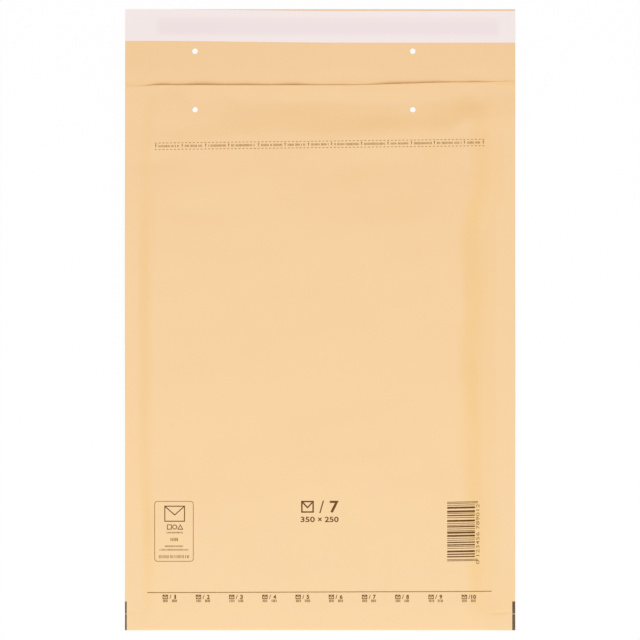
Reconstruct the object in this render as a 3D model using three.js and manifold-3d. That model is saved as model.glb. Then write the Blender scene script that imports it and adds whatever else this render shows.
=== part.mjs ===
// A padded mailing envelope, empty, lying on its back with the flap open.
//
// The cover is one sheet of kraft paper: it runs from the front edge of the mouth down the
// front, round the bottom fold, up the back and on past the mouth as the flap. A bubble-film
// lining is folded inside it and crushed and welded flat between the two papers down each
// side. A band of glue crosses the flap under a peel-off release liner, and clip holes are
// punched through the flap and through the body.
//
// Millimetres. X is across the envelope, +Y points from the bottom fold to the flap, and +Z
// points up out of the front. The origin is under the middle of the outline, on the ground.

import * as THREE from "three";
import { mergeVertices } from "three/addons/utils/BufferGeometryUtils.js";
import Module from "manifold-3d";

const wasm = await Module();
wasm.setup();

// Outline
const OUTER_WIDTH = 250; // seam edge to seam edge
const BODY_LENGTH = 350; // bottom fold to mouth
const FLAP_LENGTH = 48; // flap past the mouth
const SEAM_WIDTH = 10; // welded margin down each side

// Padding
const PAD_THICKNESS = 7.2; // both leaves and both papers, lying flat
const MOUTH_THICKNESS = 3.4; // the same at the mouth, where the leaves are pressed down
const MOUTH_TAPER = 46; // run from full thickness down to the mouth
const BOTTOM_THICKNESS = 4.4; // the same where the bottom fold begins
const BOTTOM_TAPER = 36; // run from the bottom fold up to full thickness
const SHOULDER_RUN = 9; // run from a seam up to full thickness
const FOLD_REACH = 3.5; // depth of the rounded bottom fold
const POCKET_GAP = 0.6; // between the two leaves
const POCKET_FLOOR = 10; // bottom fold to the end of the pocket
const LINING_SETBACK = 1; // lining edge back from the mouth

// Sheets
const PAPER = 0.14; // kraft paper
const WELDED_FILM = 0.3; // crushed lining between the papers of a seam
const CLEARANCE = 0.05; // between neighbouring sheets

// Flap
const FLAP_SETTLE = 20; // run over which the flap's sides come down to the ground
const LINER_WIDTH = 20; // release liner, along Y
const LINER_MARGIN = 0.8; // flap edge to liner
const LINER_PAPER = 0.1;
const LINER_STEP = 1.5; // run of the liner's step up on to the glue
const GLUE_LEFT_MARGIN = 20.8; // left seam edge to the glue band
const GLUE_RIGHT_MARGIN = 11; // glue band to the right seam edge
const GLUE_NEAR_MARGIN = 3.9; // the liner's edge nearer the mouth to the glue band
const GLUE_TIP_MARGIN = 6.1; // glue band to the liner's edge at the flap's tip
const GLUE_FILM = 0.1;

// Clip holes
const HOLE_DIAMETER = 3.5;
const HOLE_SPACING = 139.5; // left hole to right hole
const HOLE_SHIFT = -10.4; // middle of a pair, off the envelope's centre line
const FLAP_HOLE_FROM_MOUTH = 21;
const BODY_HOLE_FROM_MOUTH = 16.5;

// Smoothness of the curved stretches, in steps
const SHOULDER_STEPS = 8;
const TAPER_STEPS = 8;
const FOLD_STEPS = 9; // from the front, or from the back, to the edge of the fold
const SETTLE_STEPS = 6;
const HOLE_SIDES = 24;
const CUTTER_OVERRUN = 5; // cutting solids reach this far past what they cut

// Places worked out from the driving dimensions
const halfWidth = OUTER_WIDTH / 2;
const seamX = halfWidth - SEAM_WIDTH;
const shoulderX = seamX - SHOULDER_RUN;
const bottomY = -(BODY_LENGTH + FLAP_LENGTH) / 2;
const mouthY = bottomY + BODY_LENGTH;
const flapTipY = mouthY + FLAP_LENGTH;
const foldY = bottomY + FOLD_REACH;
const fullFromY = foldY + BOTTOM_TAPER;
const fullToY = mouthY - MOUTH_TAPER;
const pocketFloorY = bottomY + POCKET_FLOOR;
const liningEndY = mouthY - LINING_SETBACK;
const padHalf = PAD_THICKNESS / 2;
const mouthHalf = MOUTH_THICKNESS / 2;
const foldHalf = BOTTOM_THICKNESS / 2;
const liningInset = PAPER + CLEARANCE;
const seamHalf = liningInset + WELDED_FILM / 2;

const { lerp, smoothstep } = THREE.MathUtils;

// Evenly spaced values from one end to the other, both ends included.
function steps(from, to, count) {
  return Array.from({ length: count + 1 }, (_, i) => lerp(from, to, i / count));
}

// How much of the padding a line across the envelope holds: 0 in a seam, 1 on the pad.
function swell(x) {
  return 1 - smoothstep(Math.abs(x), shoulderX, seamX);
}

// Half of the thickness at the middle of the envelope, from the bottom fold to the mouth.
function halfAt(y) {
  const fromFold = lerp(foldHalf, padHalf, smoothstep(y, foldY, fullFromY));
  return lerp(fromFold, mouthHalf, smoothstep(y, fullToY, mouthY));
}

// The lines across the envelope that every sheet shares: seam edges, shoulders and pad.
const columns = [
  -halfWidth,
  ...steps(-seamX, -shoulderX, SHOULDER_STEPS),
  ...steps(shoulderX, seamX, SHOULDER_STEPS),
  halfWidth,
];

// A station is one line of a sheet across the envelope. Side is 1 on the front and -1 on the
// back, and passes through 0 at the edge of the fold. The seams lie at the height of middle.
function bodyStation(y, side) {
  const half = halfAt(y);
  return { y, side, half, middle: half };
}

const bodyRun = [
  liningEndY,
  ...steps(mouthY, fullToY, TAPER_STEPS).slice(1),
  ...steps(fullFromY, foldY, TAPER_STEPS),
];

function frontStations() {
  return bodyRun.map((y) => bodyStation(y, 1));
}

function backStations() {
  return bodyRun.map((y) => bodyStation(y, -1)).reverse();
}

// The rounded end of the fold, turned from one angle to another: a quarter of an ellipse is
// 90 degrees. An inset sheet follows a smaller ellipse inside the first.
function foldStations(fromAngle, toAngle, count, inset) {
  const reach = FOLD_REACH - inset;
  return steps(fromAngle, toAngle, count).map((angle) => ({
    y: foldY - reach * Math.cos(angle),
    side: Math.sin(angle),
    half: foldHalf,
    middle: foldHalf,
  }));
}

// Past the mouth the back paper runs on alone, and its raised sides settle to the ground.
function flapStations() {
  const settled = steps(mouthY, mouthY + FLAP_SETTLE, SETTLE_STEPS);
  return [...settled, flapTipY].map((y) => {
    const half = lerp(mouthHalf, seamHalf, smoothstep(y, mouthY, mouthY + FLAP_SETTLE));
    return { y, side: -1, half, middle: half };
  });
}

// One row of points for each station, on the surface that lies inset below the outside.
function surface(stations, inset) {
  return stations.map(({ y, side, half, middle }) =>
    columns.map((x) => {
      const reach = seamHalf - inset + swell(x) * (half - seamHalf);
      return new THREE.Vector3(x, y, middle + side * reach);
    }),
  );
}

// A closed body between two surfaces with the same rows and columns. Rows run from the mouth
// towards the fold on the upper surface, so that its faces point out. Each four-cornered patch
// is split along its shorter diagonal, so that sheets which nest are creased the same way.
function bodyBetween(upper, lower) {
  const rows = upper.length;
  const count = upper[0].length;
  const points = [...upper.flat(), ...lower.flat()];
  const top = (row, column) => row * count + column;
  const under = (row, column) => rows * count + top(row, column);
  const apart = (a, b) => points[a].distanceTo(points[b]);
  const faces = [];
  const quad = (a, b, c, d) => {
    if (apart(a, c) <= apart(b, d)) faces.push(a, b, c, a, c, d);
    else faces.push(b, c, d, b, d, a);
  };
  for (let r = 0; r + 1 < rows; r++) {
    for (let c = 0; c + 1 < count; c++) {
      quad(top(r, c), top(r + 1, c), top(r + 1, c + 1), top(r, c + 1));
      quad(under(r, c), under(r, c + 1), under(r + 1, c + 1), under(r + 1, c));
    }
    quad(top(r, 0), under(r, 0), under(r + 1, 0), top(r + 1, 0));
    const last = count - 1;
    quad(top(r, last), top(r + 1, last), under(r + 1, last), under(r, last));
  }
  for (let c = 0; c + 1 < count; c++) {
    const end = rows - 1;
    quad(top(0, c), top(0, c + 1), under(0, c + 1), under(0, c));
    quad(top(end, c), under(end, c), under(end, c + 1), top(end, c + 1));
  }
  const geometry = new THREE.BufferGeometry().setFromPoints(points);
  return geometry.setIndex(faces);
}

// A solid for cutting and joining. Faces that have shrunk to a line, as along the edge of the
// fold where two surfaces meet, are left out.
function solidOf(geometry) {
  const bare = geometry.clone();
  bare.deleteAttribute("normal");
  bare.deleteAttribute("uv");
  const { index, attributes } = mergeVertices(bare);
  const triVerts = [];
  for (let i = 0; i < index.count; i += 3) {
    const [a, b, c] = index.array.slice(i, i + 3);
    if (a !== b && b !== c && c !== a) triVerts.push(a, b, c);
  }
  return new wasm.Manifold(
    new wasm.Mesh({
      numProp: 3,
      vertProperties: attributes.position.array,
      triVerts: new Uint32Array(triVerts),
    }),
  );
}

function geometryOf(solid) {
  const { vertProperties, triVerts } = solid.getMesh();
  const geometry = new THREE.BufferGeometry();
  geometry.setAttribute("position", new THREE.BufferAttribute(vertProperties, 3));
  geometry.setIndex(new THREE.BufferAttribute(triVerts, 1));
  geometry.computeVertexNormals();
  return geometry;
}

// The two clip holes of one row, as upright cutting rods.
function clipPunches(y) {
  const length = PAD_THICKNESS + 2 * CUTTER_OVERRUN;
  return [-1, 1].map((end) => {
    const rod = new THREE.CylinderGeometry(HOLE_DIAMETER / 2, HOLE_DIAMETER / 2, length, HOLE_SIDES);
    rod.rotateX(Math.PI / 2);
    rod.translate(HOLE_SHIFT + (end * HOLE_SPACING) / 2, y, padHalf);
    return solidOf(rod);
  });
}

const bodyPunches = clipPunches(mouthY - BODY_HOLE_FROM_MOUTH);
const flapPunches = clipPunches(mouthY + FLAP_HOLE_FROM_MOUTH);

function punched(solid, punches) {
  return punches.reduce((left, punch) => left.subtract(punch), solid);
}

// Kraft paper: front, bottom fold, back and flap in one sheet, with its clip holes.
function kraftCover() {
  const sheet = (inset) =>
    surface(
      [
        bodyStation(mouthY, 1),
        ...frontStations(),
        ...foldStations(Math.PI / 2, -Math.PI / 2, 2 * FOLD_STEPS, inset).slice(1, -1),
        ...backStations(),
        ...flapStations(),
      ],
      inset,
    );
  const folded = solidOf(bodyBetween(sheet(0), sheet(PAPER)));
  return geometryOf(punched(folded, [...bodyPunches, ...flapPunches]));
}

// Bubble film: two leaves joined at the fold and welded down both sides, around the pocket.
function bubbleLining() {
  const leaf = (side) =>
    surface(
      [
        ...bodyRun.map((y) => bodyStation(y, side)),
        ...foldStations((side * Math.PI) / 2, 0, FOLD_STEPS, liningInset).slice(1),
      ],
      liningInset,
    );
  const bag = solidOf(bodyBetween(leaf(1), leaf(-1)));
  return geometryOf(punched(bag.subtract(pocket()), bodyPunches));
}

// The space between the leaves: a slit that thins out up the shoulders, short of the welds.
function pocket() {
  const across = columns.filter((x) => swell(x) > 0);
  const above = bodyRun.filter((y) => y > pocketFloorY);
  const run = [mouthY + CUTTER_OVERRUN, ...above, pocketFloorY];
  const wall = (side) =>
    run.map((y) =>
      across.map((x) => new THREE.Vector3(x, y, halfAt(y) + (side * swell(x) * POCKET_GAP) / 2)),
    );
  return solidOf(bodyBetween(wall(1), wall(-1)));
}

// Middle of the release liner along Y, and the two edges of the glue band measured from it.
const linerY = flapTipY - LINER_MARGIN - LINER_WIDTH / 2;
const glueNear = GLUE_NEAR_MARGIN - LINER_WIDTH / 2;
const glueFar = LINER_WIDTH / 2 - GLUE_TIP_MARGIN;
const glueBase = PAPER + CLEARANCE;

function flapGlue() {
  const glueLength = OUTER_WIDTH - GLUE_LEFT_MARGIN - GLUE_RIGHT_MARGIN;
  const glueX = (GLUE_LEFT_MARGIN - GLUE_RIGHT_MARGIN) / 2;
  const glueY = linerY + (glueNear + glueFar) / 2;
  const band = new THREE.BoxGeometry(glueLength, glueFar - glueNear, GLUE_FILM);
  return band.translate(glueX, glueY, glueBase + GLUE_FILM / 2);
}

// The liner lies on the paper along both its edges and steps up over the glue between them.
function releaseLiner() {
  const low = glueBase;
  const high = glueBase + GLUE_FILM + CLEARANCE;
  const edge = LINER_WIDTH / 2;
  const near = glueNear - CLEARANCE;
  const far = glueFar + CLEARANCE;
  const under = [
    [-edge, low],
    [near - LINER_STEP, low],
    [near, high],
    [far, high],
    [far + LINER_STEP, low],
    [edge, low],
  ];
  const over = under.map(([y, z]) => [y, z + LINER_PAPER]).reverse();
  const section = new THREE.Shape([...under, ...over].map(([y, z]) => new THREE.Vector2(y, z)));
  const strip = new THREE.ExtrudeGeometry(section, { depth: OUTER_WIDTH, bevelEnabled: false });
  const acrossEnvelope = new THREE.Matrix4().makeBasis(
    new THREE.Vector3(0, 1, 0),
    new THREE.Vector3(0, 0, 1),
    new THREE.Vector3(1, 0, 0),
  );
  return strip.applyMatrix4(acrossEnvelope).translate(-halfWidth, linerY, 0);
}

const kraft = new THREE.MeshStandardMaterial({ color: 0xf5d0a1, roughness: 0.75, metalness: 0 });
const film = new THREE.MeshStandardMaterial({ color: 0xe6ecef, roughness: 0.25, metalness: 0 });
const glue = new THREE.MeshStandardMaterial({ color: 0xe9dccb, roughness: 0.4, metalness: 0 });
const liner = new THREE.MeshStandardMaterial({ color: 0xf0e3e2, roughness: 0.45, metalness: 0 });

const envelope = new THREE.Group();
const add = (name, geometry, material) => {
  const mesh = new THREE.Mesh(geometry, material);
  mesh.name = name;
  envelope.add(mesh);
};
add("kraft_cover", kraftCover(), kraft);
add("bubble_lining", bubbleLining(), film);
add("flap_glue", flapGlue(), glue);
add("release_liner", releaseLiner(), liner);

export default envelope;
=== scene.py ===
import math

import bmesh
import bpy
import numpy as np
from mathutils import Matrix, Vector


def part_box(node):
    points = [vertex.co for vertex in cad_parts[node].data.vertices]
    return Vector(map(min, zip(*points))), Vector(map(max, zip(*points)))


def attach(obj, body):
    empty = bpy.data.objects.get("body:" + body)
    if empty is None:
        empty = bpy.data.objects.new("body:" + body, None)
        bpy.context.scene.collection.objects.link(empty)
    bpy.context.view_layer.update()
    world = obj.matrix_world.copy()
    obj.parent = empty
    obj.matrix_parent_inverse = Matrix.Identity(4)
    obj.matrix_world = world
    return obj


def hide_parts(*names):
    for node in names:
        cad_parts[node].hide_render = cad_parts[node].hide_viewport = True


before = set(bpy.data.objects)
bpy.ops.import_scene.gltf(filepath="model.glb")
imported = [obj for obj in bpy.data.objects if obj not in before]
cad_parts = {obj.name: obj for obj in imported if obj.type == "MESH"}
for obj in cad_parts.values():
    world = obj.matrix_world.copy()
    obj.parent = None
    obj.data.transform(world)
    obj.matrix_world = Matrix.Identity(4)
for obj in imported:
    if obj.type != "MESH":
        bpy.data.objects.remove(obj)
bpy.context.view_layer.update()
mm = 0.001  # shapes below are worked out in millimetres
tiny = 1e-6  # a length that counts as nothing
chance = np.random.default_rng(11)
print("frame loaded:", sorted(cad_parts))


def nodeBox(node):  # lowest and highest corner of a CAD node, in millimetres
    low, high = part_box(node)
    return np.array(low) / mm, np.array(high) / mm


coverLow, coverHigh = nodeBox("kraft_cover")
linerLow, linerHigh = nodeBox("release_liner")
glueLow, glueHigh = nodeBox("flap_glue")
halfWidth = coverHigh[0]
bottomEdge = coverLow[1]
flapTip = coverHigh[1]
liningTop = nodeBox("bubble_lining")[1][1]
mouthLine = liningTop + 1  # the lining stops 1 mm short of the mouth

# Curves that the surfaces are made of


def ease(value, start, end):  # 0 up to start, 1 from end on, an S-shaped cubic between
    t = np.clip((value - start) / (end - start), 0, 1)
    return t * t * (3 - 2 * t)


def hump(value, centre, reach):  # bell curve: 1 at the centre, about a third one reach away
    return np.exp(-(((value - centre) / reach) ** 2))


def eases(value, stages):  # sum of S-shaped stages, each with its size, start and end
    return sum(size * ease(value, start, end) for size, start, end in stages)


def humps(value, bells):  # sum of bell curves, each with its height, centre and reach
    return sum(height * hump(value, centre, reach) for height, centre, reach in bells)


def plateau(value, rise, fall):  # from 0 up to 1 over the rise, and back to 0 over the fall
    return ease(value, *rise) * (1 - ease(value, *fall))


def mix(a, b, share):  # a, moved a share of the way to b
    return a + (b - a) * share


def slide(value, start, end, soft=0.25):  # a straight ramp from 0 to 1 with rounded ends
    t = np.clip((value - start) / (end - start), 0, 1)
    rising, falling = t**2 / (2 * soft), 1 - soft - (1 - t) ** 2 / (2 * soft)
    return np.where(t < soft, rising, np.where(t > 1 - soft, falling, t - soft / 2)) / (1 - soft)


def through(value, places, levels):  # from level to level, easing between neighbouring places
    spot = np.clip(np.searchsorted(places, value) - 1, 0, len(places) - 2)
    return mix(levels[spot], levels[spot + 1], ease(value, places[spot], places[spot + 1]))


def steps(start, end, size):  # evenly spaced lines, about size apart, both ends included
    return np.linspace(start, end, max(1, round(abs(end - start) / size)) + 1)


# Padding of the envelope, which lies on its back

padding = {
    "full": 6.9,  # thickness at its thickest
    "topOfPad": 122,
    "thinnerAtTop": 2.1,  # what the pad has lost by its top, and by the bottom fold
    "thinnerAtFold": 2.4,
    "foldReach": 1.7,  # depth of the rounded bottom fold
    "mouthLift": 1.6,  # height of the back paper at the mouth, from where the flap comes down
    "leftLift": [(0.5, -48, -88)],  # what is added to it, and from where to where along x
    "liftFrom": 112,
    "lipRipple": 0.35,  # share by which the mouth opens more and less along it
    "rippleWaves": ((6.3, 0.8), (19, -0.4)),  # length for a radian, and start, of two sine waves
    "rippleFrom": 138,
}
foldStart = bottomEdge + padding["foldReach"]

# How the pad is pressed down at the mouth: x, where that begins and ends along y, thickness left
pressed = np.array([
    (-112, 112, 150, 1.2),
    (-98, 112, 150, 1.85),
    (-84, 112, 150, 1.6),
    (-54, 117, 145, 1.5),
    (-35, 118, 144, 1.5),
    (-20, 118, 143, 1.35),
    (-8, 116, 143, 1.0),
    (17, 115.5, 142, 0.9),
    (36, 115.5, 142, 1.0),
    (58, 116, 142, 1.5),
    (80, 118, 143, 1.3),
    (94, 124, 147, 0.85),
    (110, 126, 148, 0.7),
]).T


def mouthLift(x):  # the back paper's height at the mouth, greater at the left
    return padding["mouthLift"] + eases(x, padding["leftLift"])


def backLift(x, y):  # the back paper leaves the floor on its way to the mouth
    return mouthLift(x) * ease(y, padding["liftFrom"], mouthLine)


def thicknessAt(x, y):  # a long crown, pressed down at the mouth to a thin edge with a ripple
    top = np.clip(y, 0, padding["topOfPad"]) / padding["topOfPad"]
    low = np.clip(y, bottomEdge, 0) / bottomEdge
    crown = padding["full"] - padding["thinnerAtTop"] * top**2 - padding["thinnerAtFold"] * low**2
    places, begins, ends, left = pressed
    share = slide(y, through(x, places, begins), through(x, places, ends))
    quick, slow = (np.sin(x / length + start) for length, start in padding["rippleWaves"])
    ripple = 1 + padding["lipRipple"] * quick * slow * ease(y, padding["rippleFrom"], mouthLine)
    return mix(crown, through(x, places, left) * ripple, share)


# Welded margins at the sides

seams = {
    "half": 0.4,  # half of a margin's thickness, and the same at the mouth
    "halfAtMouth": 0.18,
    "thinFrom": 120,
    "left": 0.64,  # height of a margin, as a share of the way from the back paper to the front
    "leftDrop": [(-0.08, -50, -130)],  # change of that share, and from where to where along y
    "right": 0.32,
    "rightWave": (0.05, 25, 28),  # depth, place and length for a radian of a wave along y
    "rightDips": [(0.05, -95, 40)],  # depth, place and reach
    "atFold": 0.55,  # the share at the bottom fold, left behind by this place along y
    "foldUpTo": -150,
    "waver": 0.14,  # height of a slow wave along both margins
    "waverLength": 21,
    "waverStart": 1.3,
    "waverFrom": 104,
    "calm": 25,  # distance over which it dies out before the fold and the mouth
}


def seamHeight(x, y):  # a share of the thickness between the two papers, plus a slow waver
    left = seams["left"] + eases(y, seams["leftDrop"])
    depth, place, length = seams["rightWave"]
    right = seams["right"] - depth * np.cos((y - place) / length) - humps(y, seams["rightDips"])
    share = mix(left, right, ease(x, -halfWidth, halfWidth))
    share = mix(seams["atFold"], share, ease(y, bottomEdge, seams["foldUpTo"]))
    waver = seams["waver"] * np.sin(y / seams["waverLength"] + np.sign(x) * seams["waverStart"])
    outside = ease(np.abs(x), seams["waverFrom"], halfWidth)
    inside = plateau(y, (bottomEdge, bottomEdge + seams["calm"]), (mouthLine - seams["calm"], mouthLine))
    return backLift(x, y) + share * thicknessAt(x, y) + waver * outside * inside


def seamHalf(y):  # half of a margin's thickness, easing to less at the mouth
    return mix(seams["half"], seams["halfAtMouth"], ease(y, seams["thinFrom"], mouthLine))


# Shoulders between the margins and the pad

shoulders = {
    "left": ((-117.5, -108.5), (-117, -105)),  # margin to pad: a short rise and a longer one
    "right": ((88.5, 104), (91, 115)),
    "longShare": 0.5,
    "leftMoves": ((2.0, 100, 125), (2.2, -95, -130)),  # shift to the right, between two places along y
    "rightMoves": ((5.5, 58, 90), (1.5, -60, -130)),
    "wander": 0.7,  # sine wave of the right shoulder
    "wanderLength": 13,
    "byFold": ((-130, -86), (82, 130)),  # rise and drop next to the bottom fold
    "foldOver": (-197, -177),
    "back": ((-116, -100), (97, 113)),  # rise and drop of the back
}


def doubleRise(x, runs):  # a short rise and a longer one added together
    return mix(ease(x, *runs[0]), ease(x, *runs[1]), shoulders["longShare"])


def frontFill(x, y):  # 0 in a margin, 1 on the pad; the rises wander, and widen towards the fold
    wander = shoulders["wander"] * np.sin(y / shoulders["wanderLength"])
    left = doubleRise(x - eases(y, shoulders["leftMoves"]), shoulders["left"])
    right = 1 - doubleRise(x - eases(y, shoulders["rightMoves"]) - wander, shoulders["right"])
    return mix(plateau(x, *shoulders["byFold"]), left * right, ease(y, *shoulders["foldOver"]))


# Soft dents and ridges of the front: x, y, turn in degrees, half length, half width, height
dents = [
    (45, 130, 0, 40, 5.5, -0.42),  # soft folds under the mouth
    (-38, 136, 2, 24, 5, -0.2),
    (97, 138.5, 5, 12, 4, -0.3),
    (-102, 102, 9, 20, 6, -0.4),  # slanted crease over the left shoulder
    (-83, 70, 0, 19, 5, -0.25),
    (-57, 92, 55, 13, 4, -0.15),
    (-92.5, 27, 14, 9, 4.2, -0.22),  # knocks on the pad
    (-8, 19.5, 0, 8, 4.2, -0.16),
    (-25, -22, 50, 6, 3.6, -0.15),
    (-13, -61, 0, 27, 4.5, -0.12),
    (33, -83, 3, 30, 5, -0.2),
    (99, 30, 86, 46, 2.2, -0.16),  # ripples down the right shoulder
    (101, -60, 94, 36, 2.2, -0.12),
    (-121, -187, 0, 4, 0.9, -0.2),  # creases across the margins near the fold
    (116, -187.5, 5, 8, 0.8, -0.28),
]
swells = {
    "count": 14,
    "shortest": 22,
    "longest": 110,
    "steepness": 0.011,
    "fromFold": 20,  # they grow over this distance, and die out between two places along y
    "fade": (118, 140),
}
swellTurns = chance.uniform(0, math.pi, swells["count"])
swellLengths = np.geomspace(swells["shortest"], swells["longest"], swells["count"])
swellStarts = chance.uniform(0, 2 * math.pi, swells["count"])


def softRelief(x, y):  # dents: tilted bell-shaped valleys and ridges; swells: slow sine waves
    total = np.zeros(np.broadcast(x, y).shape)
    for dentX, dentY, turn, length, width, height in dents:
        c, s = math.cos(math.radians(turn)), math.sin(math.radians(turn))
        along = (x - dentX) * c + (y - dentY) * s
        aside = (y - dentY) * c - (x - dentX) * s
        total = total + height * hump(along, 0, length) * hump(aside, 0, width)
    grown = (bottomEdge, bottomEdge + swells["fromFold"])
    pad = frontFill(x, y) * plateau(y, grown, swells["fade"])
    for turn, length, start in zip(swellTurns, swellLengths, swellStarts):
        wave = np.sin((x * math.cos(turn) + y * math.sin(turn)) * 2 * math.pi / length + start)
        total = total + swells["steepness"] * length / (2 * math.pi) * wave * pad
    return total


def frontHeight(x, y):  # margin height, plus the share of the padding, plus the soft relief
    margin = seamHeight(x, y) + seamHalf(y)
    padded = mix(margin, backLift(x, y) + thicknessAt(x, y), frontFill(x, y))
    return padded + softRelief(x, y)


def backHeight(x, y):  # flat under the pad, rising to the margins
    return mix(seamHeight(x, y) - seamHalf(y), backLift(x, y), plateau(x, *shoulders["back"]))


flapForm = {
    "sidesDown": 32,  # distance in which the raised sides come down
    "wave": 0.2,  # sine wave across the flap, growing towards its tip
    "waveLength": 31,
    "waveStart": 0.6,
    "waveFrom": 4,
    "curl": [(0.25, halfWidth, 40)],  # what is added to it at the right
    "dips": ((0.22, 18, 12), (0.22, 101, 14)),  # depth, place and reach across the flap
    "dipsAt": (4, 5),  # their place and reach away from the mouth
    "dipsFrom": 3,
}


def flapHeight(x, y):  # from the mouth down to the floor, its sides sooner, plus a wave, less two dips
    away, length = y - mouthLine, flapTip - mouthLine
    middle = mouthLift(x) * (1 - slide(away, 0, length))
    sides = (backHeight(x, mouthLine) - mouthLift(x)) * (1 - ease(away, 0, flapForm["sidesDown"]))
    wave = flapForm["wave"] * (1 + np.sin(x / flapForm["waveLength"] + flapForm["waveStart"]))
    wave = (wave + humps(x, flapForm["curl"])) * ease(away, flapForm["waveFrom"], length)
    dips = humps(x, flapForm["dips"]) * hump(away, *flapForm["dipsAt"])
    return middle + sides + wave - dips * ease(away, 0, flapForm["dipsFrom"])


def coverTop(x, y):  # what print lies on: the front, and the upper half of the fold's ellipse
    y = np.asarray(y, float)
    front = frontHeight(x, np.maximum(y, foldStart))
    back = backHeight(x, foldStart)
    inFold = np.clip((foldStart - y) / padding["foldReach"], 0, 1)
    rounded = (front + back) / 2 + (front - back) / 2 * np.sqrt(1 - inFold**2)
    return np.where(y < foldStart, rounded, front)


# Closed shells from grids of points


def gridQuads(rows, columns, keep=None, around=False):  # four corners of each cell, in order
    spots = np.arange(rows * columns).reshape(rows, columns)
    if around:
        spots = np.concatenate([spots, spots[:, :1]], axis=1)
    quads = np.stack([spots[:-1, :-1], spots[1:, :-1], spots[1:, 1:], spots[:-1, 1:]], axis=-1)
    return quads[keep] if keep is not None else quads.reshape(-1, 4)


def shell(outer, inner, quads):  # both layers, joined by a wall along every open edge
    outer, inner = (layer.reshape(-1, layer.shape[-1]) for layer in (outer, inner))
    count = len(outer)
    starts, ends = quads.ravel(), np.roll(quads, -1, axis=1).ravel()
    openEdge = ~np.isin(starts * count + ends, ends * count + starts)
    a, b = starts[openEdge], ends[openEdge]
    walls = np.stack([b, a, a + count, b + count], axis=1)
    faces = np.concatenate([quads, quads[:, ::-1] + count, walls])
    used, faces = np.unique(faces, return_inverse=True)
    return np.concatenate([outer, inner])[used], faces.reshape(-1, 4)


def joinShells(shells):  # several shells as one list of points and one list of faces
    offsets = np.cumsum([0] + [len(points) for points, _ in shells[:-1]])
    points = np.concatenate([points for points, _ in shells])
    faces = np.concatenate([faces + offset for (_, faces), offset in zip(shells, offsets)])
    return points, faces


def sheetNormals(points):  # across the rows and columns of a grid, pointing outwards
    normals = np.cross(np.gradient(points, axis=0), np.gradient(points, axis=1))
    return normals / np.linalg.norm(normals, axis=-1, keepdims=True)


def roundFold(above, below, reach, turns):  # half an ellipse, from the front's last row to the back's first
    angles = np.linspace(math.pi / 2, -math.pi / 2, turns + 1)[1:-1, None]
    middle, half = (above[:, 2] + below[:, 2]) / 2, (above[:, 2] - below[:, 2]) / 2
    fold = np.repeat(above[None], len(angles), axis=0)
    fold[:, :, 1] = foldStart - reach * np.cos(angles)
    fold[:, :, 2] = middle + half * np.sin(angles)
    return fold


# A smooth mesh, sharp where faces meet past an angle; a fourth column is the painted shade on the sheet
def makePiece(name, points, faces, material, sharpAngle=35):
    mesh = bpy.data.meshes.new(name)
    mesh.from_pydata((points[:, :3] * mm).tolist(), [], faces.tolist())
    mesh.update()
    if points.shape[1] > 3:
        # a fourth column becomes an attribute: the painted shade that the kraft material reads
        mesh.attributes.new("paintedShade", "FLOAT", "POINT").data.foreach_set("value", points[:, 3])
    mesh.polygons.foreach_set("use_smooth", np.ones(len(mesh.polygons), bool))
    mesh.set_sharp_from_angle(angle=math.radians(sharpAngle))
    mesh.materials.append(material)
    piece = bpy.data.objects.new(name, mesh)
    bpy.context.collection.objects.link(piece)
    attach(piece, "root")
    print("made", name, "-", len(faces) * (faces.shape[1] - 2), "triangles")
    return piece


# Shader groups and materials


def colour(red, green, blue):  # sRGB levels, 0 to 255, as a shader colour
    level = np.array([red, green, blue]) / 255
    linear = np.where(level <= 0.04045, level / 12.92, ((level + 0.055) / 1.055) ** 2.4)
    return (*linear.tolist(), 1)


class Nodes:  # short ways to add, set and link the nodes of one tree
    def __init__(self, tree):  # the tree of a material, a group or the world
        self.tree = tree

    def add(self, kind, **settings):  # a new node with its own settings
        node = self.tree.nodes.new(kind)
        for key, value in settings.items():
            setattr(node, key, value)
        return node

    def put(self, socket, value):  # an output is linked to the socket, anything else is set on it
        if isinstance(value, bpy.types.NodeSocket):
            self.tree.links.new(value, socket)
        else:
            socket.default_value = value

    def feed(self, node, **inputs):  # inputs by name, with _ for a space
        for key, value in inputs.items():
            self.put(node.inputs[key.replace("_", " ")], value)
        return node

    def math(self, operation, first, second):  # one operation on two values
        node = self.add("ShaderNodeMath", operation=operation)
        self.put(node.inputs[0], first)
        self.put(node.inputs[1], second)
        return node.outputs[0]

    def weigh(self, first, firstShare, second, secondShare):  # two values added, each times its share
        return self.math("ADD", self.math("MULTIPLY", first, firstShare),
                         self.math("MULTIPLY", second, secondShare))

    def noise(self, vector, scale, detail=2, roughness=0.5):  # cloudy values, mostly from 0.3 to 0.7
        node = self.add("ShaderNodeTexNoise")
        self.feed(node, Vector=vector, Scale=scale, Detail=detail, Roughness=roughness)
        return node.outputs["Fac"]

    def stretch(self, vector, along, turn=0):  # coordinates turned by degrees, then x times along
        node = self.add("ShaderNodeMapping", vector_type="TEXTURE")
        self.feed(node, Vector=vector, Scale=(1 / along, 1, 1), Rotation=(0, 0, math.radians(turn)))
        return node.outputs["Vector"]

    def between(self, value, low, high, toLow=0, toHigh=1):  # low to high becomes toLow to toHigh
        node = self.add("ShaderNodeMapRange")
        self.feed(node, Value=value, From_Min=low, From_Max=high, To_Min=toLow, To_Max=toHigh)
        return node.outputs["Result"]

    def blend(self, share, first, second, kind="MIX"):  # the first colour, and a share of the second
        node = self.add("ShaderNodeMix", data_type="RGBA", blend_type=kind)
        for index, value in ((0, share), (6, first), (7, second)):
            self.put(node.inputs[index], value)
        return node.outputs[2]

    def mixShaders(self, share, first, second):  # the first shader, and a share of the second
        node = self.add("ShaderNodeMixShader")
        for socket, source in zip(node.inputs, (share, first.outputs[0], second.outputs[0])):
            self.put(socket, source)
        return node.outputs[0]


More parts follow.
